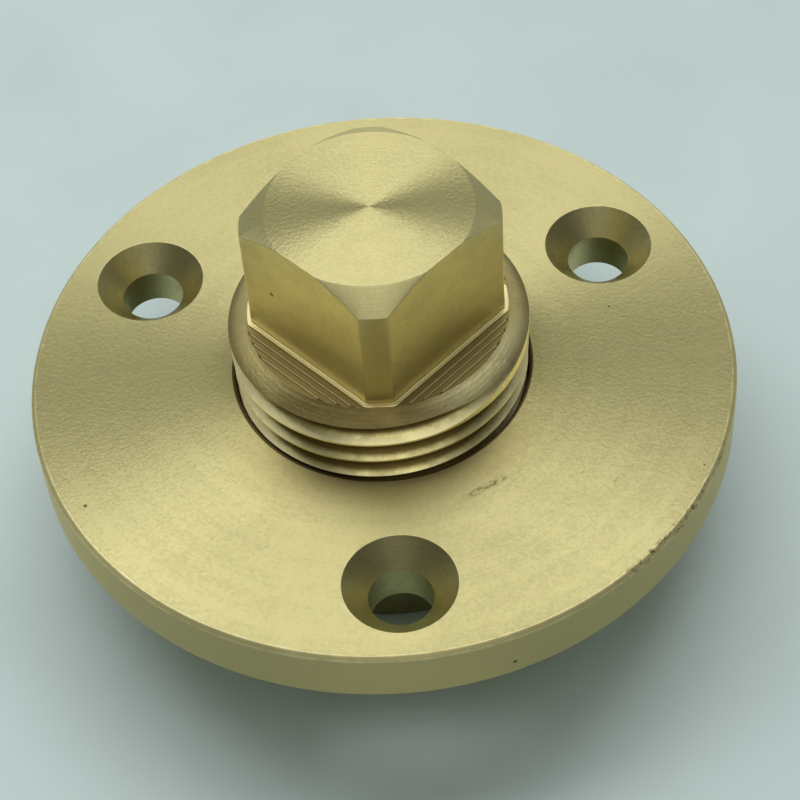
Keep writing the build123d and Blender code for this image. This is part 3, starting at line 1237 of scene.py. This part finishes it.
class DRAINFITTING_OT_stage(bpy.types.Operator):
    """Make the plain floor, the soft light, the room and the camera"""

    bl_idname = "drainfitting.stage"
    bl_label = "Stage"

    def execute(self, context):
        scene, settings = context.scene, context.scene.stage_settings
        self.floor(settings)
        self.lamp(settings)
        self.room(scene, settings)
        self.camera(scene, settings)
        scene.view_settings.view_transform = "Standard"
        return {"FINISHED"}

    def floor(self, settings):
        """A flat square just under the hub."""
        half, height = settings.floor_half, SOCKET_LOW.z - FLOOR_GAP
        corners = [(x * half, y * half, height) for x, y in ((-1, -1), (1, -1), (1, 1), (-1, 1))]
        mesh = bpy.data.meshes.new("Floor")
        mesh.from_pydata(corners, [], [(0, 1, 2, 3)])
        mesh.materials.append(floor_paint(settings))
        put_in_scene("Floor", mesh)

    def lamp(self, settings):
        """A soft light behind the object, its long side level, tilted to face the object."""
        data = bpy.data.lights.new("Softbox_behind", "AREA")
        data.shape = "RECTANGLE"
        data.size, data.size_y = settings.lamp_width, settings.lamp_depth
        data.energy = settings.lamp_power
        lamp = put_in_scene("Softbox_behind", data)
        lamp.location = settings.lamp_place
        lamp.rotation_euler.x = -math.atan2(lamp.location.y, lamp.location.z)

    def room(self, scene, settings):
        """Plain walls, paler behind, under a pale ceiling that leans towards the camera."""
        world = bpy.data.worlds.new("Room")
        world.use_nodes = True
        room = Nodes(world.node_tree)
        direction = room.add("ShaderNodeTexCoord", out="Generated")

        def part(way, low, high):
            """The part of the room that lies one way, with a soft edge."""
            return room.step(room.vector("DOT_PRODUCT", direction, way, out="Value"), low, high)

        behind = part((0.0, 1.0, 0.0), low=0.1, high=0.6)
        overhead = part((0.0, -0.40, 0.917), low=0.86, high=1.0)
        sides = room.mix(behind, solid(settings.near_walls), solid(settings.walls))
        shade = room.mix(overhead, sides, solid(settings.ceiling))
        room.give(room.tree.nodes["Background"].inputs["Color"], shade)
        scene.world = world

    def camera(self, scene, settings):
        """A long lens that looks down on the plug."""
        data = bpy.data.cameras.new("Camera")
        data.lens, data.sensor_width = settings.lens, SENSOR_MM
        data.clip_start, data.clip_end = NEAR_CLIP, FAR_CLIP
        turned_to = (
            Matrix.Rotation(settings.camera_side, 4, "Z")
            @ Matrix.Rotation(QUARTER - settings.camera_height, 4, "X")
            @ Matrix.Rotation(settings.camera_roll, 4, "Z")
        )
        back = turned_to @ Vector((0, 0, settings.camera_distance))
        scene.camera = put_in_scene("Camera", data)
        scene.camera.matrix_world = Matrix.Translation(Vector(settings.aim) + back) @ turned_to


class DRAINFITTING_PT_panel(bpy.types.Panel):
    """Buttons and sizes of the drain fitting"""

    bl_label = "Drain fitting"
    bl_space_type = "VIEW_3D"
    bl_region_type = "UI"
    bl_category = "Drain fitting"

    def draw(self, context):
        for operator in OPERATORS:
            self.layout.operator(operator.bl_idname)
        for attribute in SETTINGS:
            group = getattr(context.scene, attribute)
            box = self.layout.box()
            for name in group.bl_rna.properties.keys():
                if name not in ("name", "rna_type"):
                    box.prop(group, name)


OPERATORS = (DRAINFITTING_OT_stage, DRAINFITTING_OT_socket, DRAINFITTING_OT_plug)
SETTINGS = {
    "socket_sizes": SocketSizes,
    "plug_sizes": PlugSizes,
    "thread_sizes": ThreadSizes,
    "finish_colours": FinishColours,
    "stage_settings": StageSettings,
}
CLASSES = (*SETTINGS.values(), *OPERATORS, DRAINFITTING_PT_panel)


def register():
    for made in CLASSES:
        bpy.utils.register_class(made)
    for attribute, group in SETTINGS.items():
        setattr(bpy.types.Scene, attribute, bpy.props.PointerProperty(type=group))


def unregister():
    for attribute in SETTINGS:
        delattr(bpy.types.Scene, attribute)
    for made in reversed(CLASSES):
        bpy.utils.unregister_class(made)


def main():
    register()
    bpy.ops.drainfitting.stage()
    bpy.ops.drainfitting.socket()
    bpy.ops.drainfitting.plug()


if __name__ == "__main__":
    main()
